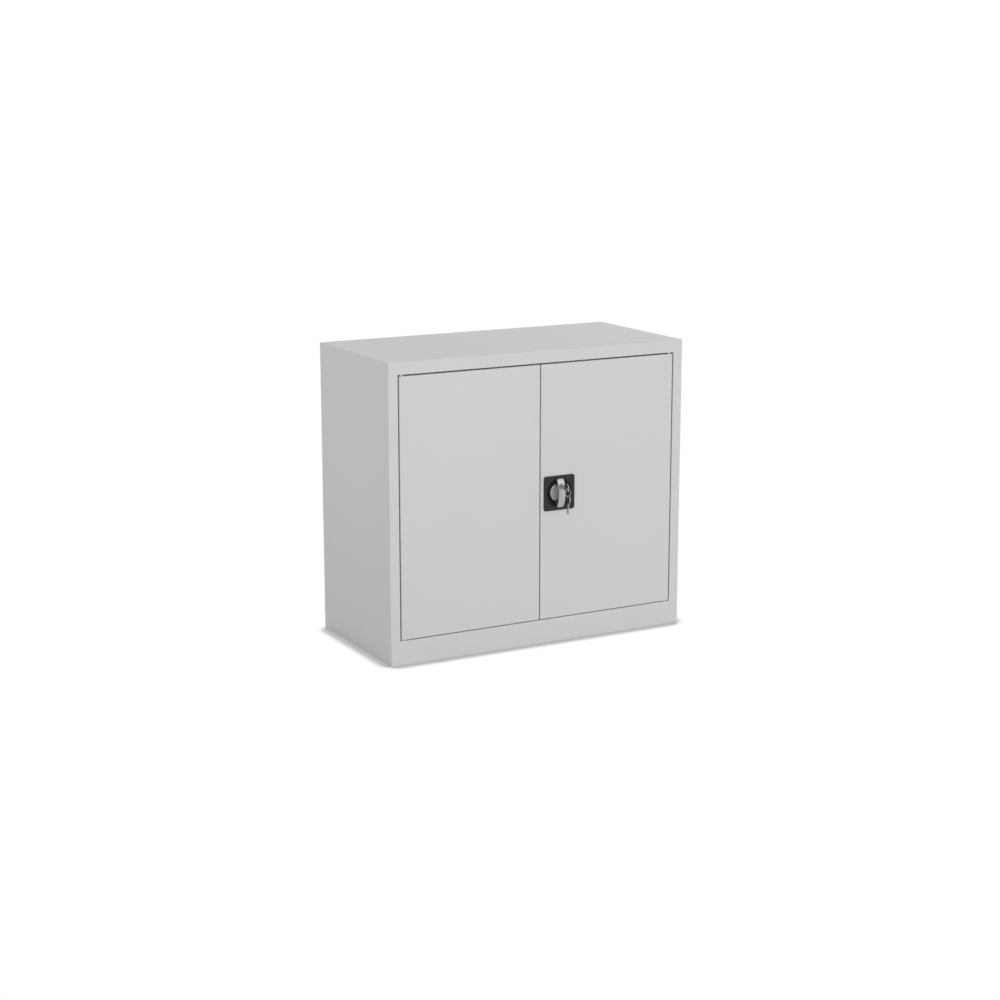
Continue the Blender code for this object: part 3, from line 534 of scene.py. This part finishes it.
# %% The disc and the spindle
disc_radius, disc_edge, disc_gap = 22 * mm, 1 * mm, 0.3 * mm
disc_back = dish_floor - disc_gap
bpy.ops.mesh.primitive_cylinder_add(
    vertices=96,
    radius=disc_radius,
    depth=disc_back - disc_front,
    location=(lock_x, (disc_front + disc_back) / 2, lock_z),
    rotation=(math.pi / 2, 0, 0),
)
disc = bpy.context.active_object
bpy.ops.object.transform_apply(location=True, rotation=True, scale=False)
bevel(disc, disc_edge, segments=3, angle=60)

spindle_side, spindle_edge, spindle_into_disc = 8 * mm, 0.4 * mm, 1 * mm
spindle_start = disc_back - spindle_into_disc
spindle_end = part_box("lock_knob")[1].y
bpy.ops.mesh.primitive_cube_add(
    size=1,
    location=(lock_x, (spindle_start + spindle_end) / 2, lock_z),
    scale=(spindle_side, spindle_end - spindle_start, spindle_side),
)
spindle = bpy.context.active_object
bpy.ops.object.transform_apply(location=True, rotation=False, scale=True)
bevel(spindle, spindle_edge, segments=2, angle=60)

pick(grip, disc, spindle)
bpy.ops.object.join()
smooth(grip)
stand_in(grip, "lock_knob")
print("knob:", len(grip.data.polygons), "faces")

# %% [markdown]
# ## The cylinder and the keys
#
# The cylinder's parts and the keys are turned, stamped and tumbled, which leaves every edge slightly round.
# A key's blade has a groove along each side, milled to match the lock's ward. The groove could be a dark
# line in the finish, but a cut one also shows in the blade's outline, so a bar is cut out of each side.

# %% The cylinder
turned_radius = 0.25 * mm
tumbled = {"segments": 2, "angle": 40}
for node in ("cylinder_housing", "cylinder_core"):
    turned = copy_of(node, node + "_turned")
    bevel(turned, turned_radius, **tumbled)
    smooth(turned, angle=40)
    stand_in(turned, node)
    print(turned.name, len(turned.data.polygons), "faces")

# %% The keys
stamped_radius = 0.2 * mm
groove_width, groove_depth, groove_share = 1.6 * mm, 0.5 * mm, 0.5
for node, along in (("key", Vector((0, 1, 0))), ("spare_key", Vector((0, 0, -1)))):
    cut_key = copy_of(node, node + "_cut")
    low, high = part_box(node)
    thick = high.x - low.x
    size_along = Vector([abs(part) for part in along])
    length = (high - low).dot(size_along)
    groove_length = groove_share * length
    groove_middle = (low + high) / 2 + along * (length - groove_length) / 2
    for side in (-1, 1):
        bpy.ops.mesh.primitive_cube_add(
            size=1,
            location=groove_middle + Vector((side * thick / 2, 0, 0)),
            scale=Vector((groove_depth * 2, groove_width, groove_width)) + size_along * groove_length,
        )
        bar = bpy.context.active_object
        bpy.ops.object.transform_apply(location=True, rotation=False, scale=True)
        apply_modifier(cut_key, "BOOLEAN", object=bar, operation="DIFFERENCE", solver="EXACT")
        bpy.data.objects.remove(bar)
    bevel(cut_key, stamped_radius, **tumbled)
    smooth(cut_key, angle=40)
    stand_in(cut_key, node)
    print(cut_key.name, len(cut_key.data.polygons), "faces")

# %% [markdown]
# ## The split ring
#
# A key ring is two turns of flat wire that lie on each other. A torus would look the same from afar, but has
# neither the line between the turns nor the wire's ends. So a small flat oval is swept round twice, with a
# rise of one wire's thickness in each turn, and its two ends are closed. The wire is narrower than the
# measured round one, so that its corners stay clear of the keys' holes when the ring swings.

# %% The split ring
ring_low, ring_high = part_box("key_ring")
ring_middle = (ring_low + ring_high) / 2
wire_half = (ring_high.y - ring_low.y) / 2
wire_width_half = 0.7 * wire_half
ring_radius = (ring_high.z - ring_low.z) / 2 - wire_half
turn_half = wire_half / 3
ring_rise = 4 * turn_half

bpy.ops.mesh.primitive_circle_add(
    vertices=12,
    radius=wire_width_half,
    fill_type="NOTHING",
    location=(ring_radius, 0, 0),
    rotation=(math.pi / 2, 0, 0),
    scale=(1, turn_half / wire_width_half, 1),
)
ring = bpy.context.active_object
ring.name = ring.data.name = "split_ring"
bpy.ops.object.transform_apply(location=True, rotation=True, scale=True)
apply_modifier(ring, "SCREW", angle=2 * math.tau, screw_offset=ring_rise, steps=96, render_steps=96, axis="Z")
ring.rotation_euler = (math.pi / 2, 0, 0)
ring.location = ring_middle + Vector((0, ring_rise / 2, 0))
bpy.ops.object.transform_apply(location=True, rotation=True, scale=False)
edit(ring)
bpy.ops.mesh.fill_holes(sides=16)
bpy.ops.mesh.select_all(action="SELECT")
bpy.ops.mesh.normals_make_consistent(inside=False)
bpy.ops.object.mode_set(mode="OBJECT")
smooth(ring)
stand_in(ring, "key_ring")
print("ring:", len(ring.data.polygons), "faces")

# %% [markdown]
# ## The floor
#
# The picture was cut out on white, with only a narrow dark band where the plinth meets the floor. A lamp's
# shadow would reach too far. The floor therefore shows the camera a white with a painted shadow: it darkens
# where something stands close over it, by the ambient occlusion there, and it sends plain diffuse light back
# to the cupboard. Reflections see the same white, so that metal mirrors the floor that the picture shows.

# %% The floor
floor_half = 12.0
floor_tone, floor_rough = 0.77, 0.9
# The floor's painted shadow: how far the occlusion looks, the occlusion at which the shadow is full and at
# which it is gone, then the white and the shadow's darkest tone.
painted_shadow_reach = 45 * mm
painted_shadow_full, painted_shadow_none = 0.6, 0.91
floor_white, painted_shadow_tone = 1.0, 0.47


def seen_rays(tree):
    """1 for rays that show a surface to the camera, also in a mirror or through glass, and else 0."""
    camera_ray, glossy_ray, transmission_ray = (
        Socket.node(tree, "LightPath", output=f"Is {ray} Ray") for ray in ("Camera", "Glossy", "Transmission")
    )
    return camera_ray + glossy_ray + transmission_ray


bpy.ops.object.select_all(action="DESELECT")
bpy.ops.mesh.primitive_plane_add(size=floor_half * 2, location=(0, 0, 0))
floor = bpy.context.active_object
floor.name = floor.data.name = "floor"
floor_paint = bpy.data.materials.new("floor")
floor_paint.use_nodes = True
tree = floor_paint.node_tree
matt = tree.nodes["Principled BSDF"]
matt.inputs["Base Color"].default_value = grey(floor_tone)
matt.inputs["Roughness"].default_value = floor_rough
# Painted shadow: the white that the camera sees darkens smoothly with the ambient occlusion near the cupboard.
near = Socket.node(tree, "AmbientOcclusion", {"samples": 16}, output="AO", Distance=painted_shadow_reach)
band = Socket.node(
    tree,
    "MapRange",
    {"interpolation_type": "SMOOTHSTEP"},
    From_Min=painted_shadow_full,
    From_Max=painted_shadow_none,
    To_Min=painted_shadow_tone,
    To_Max=floor_white,
    Value=near,
)
white_with_painted_shadow = Socket.node(tree, "Emission", Color=band, Strength=1.0)
choices = {"0": seen_rays(tree), "1": Socket(tree, matt.outputs[0]), "2": white_with_painted_shadow}
shown = Socket.node(tree, "MixShader", **choices)
tree.links.new(shown.output, tree.nodes["Material Output"].inputs["Surface"])
floor.data.materials.append(floor_paint)
print("floor:", floor_half * 2, "m across, its dark band reaches", round(painted_shadow_reach / mm), "mm")

# %% [markdown]
# ## Light
#
# A white room gives most of the light. A photographed studio could surround the cupboard instead, but plain
# lamps keep the light easy to read and to change. A large soft lamp in front makes the doors lighter than
# the side, a smaller one above and to the right lightens that end of the top, and weak ones lift the side's
# upper part, the doors' lower part and the back. The back's lamp stands lower than the top, because a lamp
# that is seen mirrored in the top would bleach it. Rays that show the room as a background or in a
# reflection see it white, and the rest see it at the strength that lights the paint to its own colour.

# %% The white room
room_strength = 0.6
room_colour = grey(1)

world = bpy.data.worlds.new("white_room")
scene.world = world
world.use_nodes = True
tree = world.node_tree
tree.nodes.clear()
room = Socket.node(tree, "Background", Color=room_colour, Strength=room_strength)
backdrop = Socket.node(tree, "Background", Color=room_colour, Strength=1.0)
choices = {"0": seen_rays(tree), "1": room, "2": backdrop}
Socket.node(tree, "OutputWorld", Surface=Socket.node(tree, "MixShader", **choices))
print("room at strength", room_strength, "with", len(tree.nodes), "nodes")


# %% The lamps
def soft_lamp(name, place, target, size, power):
    """A round area lamp that faces a point, with its diameter in metres and its power in watts."""
    lamp = bpy.data.objects.new(name, bpy.data.lights.new(name, "AREA"))
    lamp.data.shape = "DISK"
    lamp.data.size = size
    lamp.data.energy = power
    lamp.location = place
    lamp.rotation_euler = (Vector(target) - Vector(place)).to_track_quat("-Z", "Y").to_euler()
    lamp.visible_camera = False
    scene.collection.objects.link(lamp)
    print(name, power, "W")


# Each row: name, place, the point that it faces, diameter, power.
soft_lamp("front_lamp", (0.3, -4.0, 2.3), (0, 0, 0.36), 3.6, 64)
soft_lamp("top_lamp", (1.7, 0.3, 1.8), (0.3, 0, 0.72), 1.0, 6)
soft_lamp("back_lamp", (0.6, 3.4, 0.36), (0, 0.2, 0.36), 0.66, 18)
soft_lamp("side_lamp", (-1.1, 0.03, 0.66), (-0.4, 0.03, 0.62), 0.5, 0.95)
soft_lamp("low_lamp", (0.2, -3.4, 0.5), (0, -0.2, 0.2), 1.2, 10)

# %% [markdown]
# ## The last lines
#
# The picture uses plain colours.

# %% The picture's colours
scene.view_settings.view_transform = "Standard"
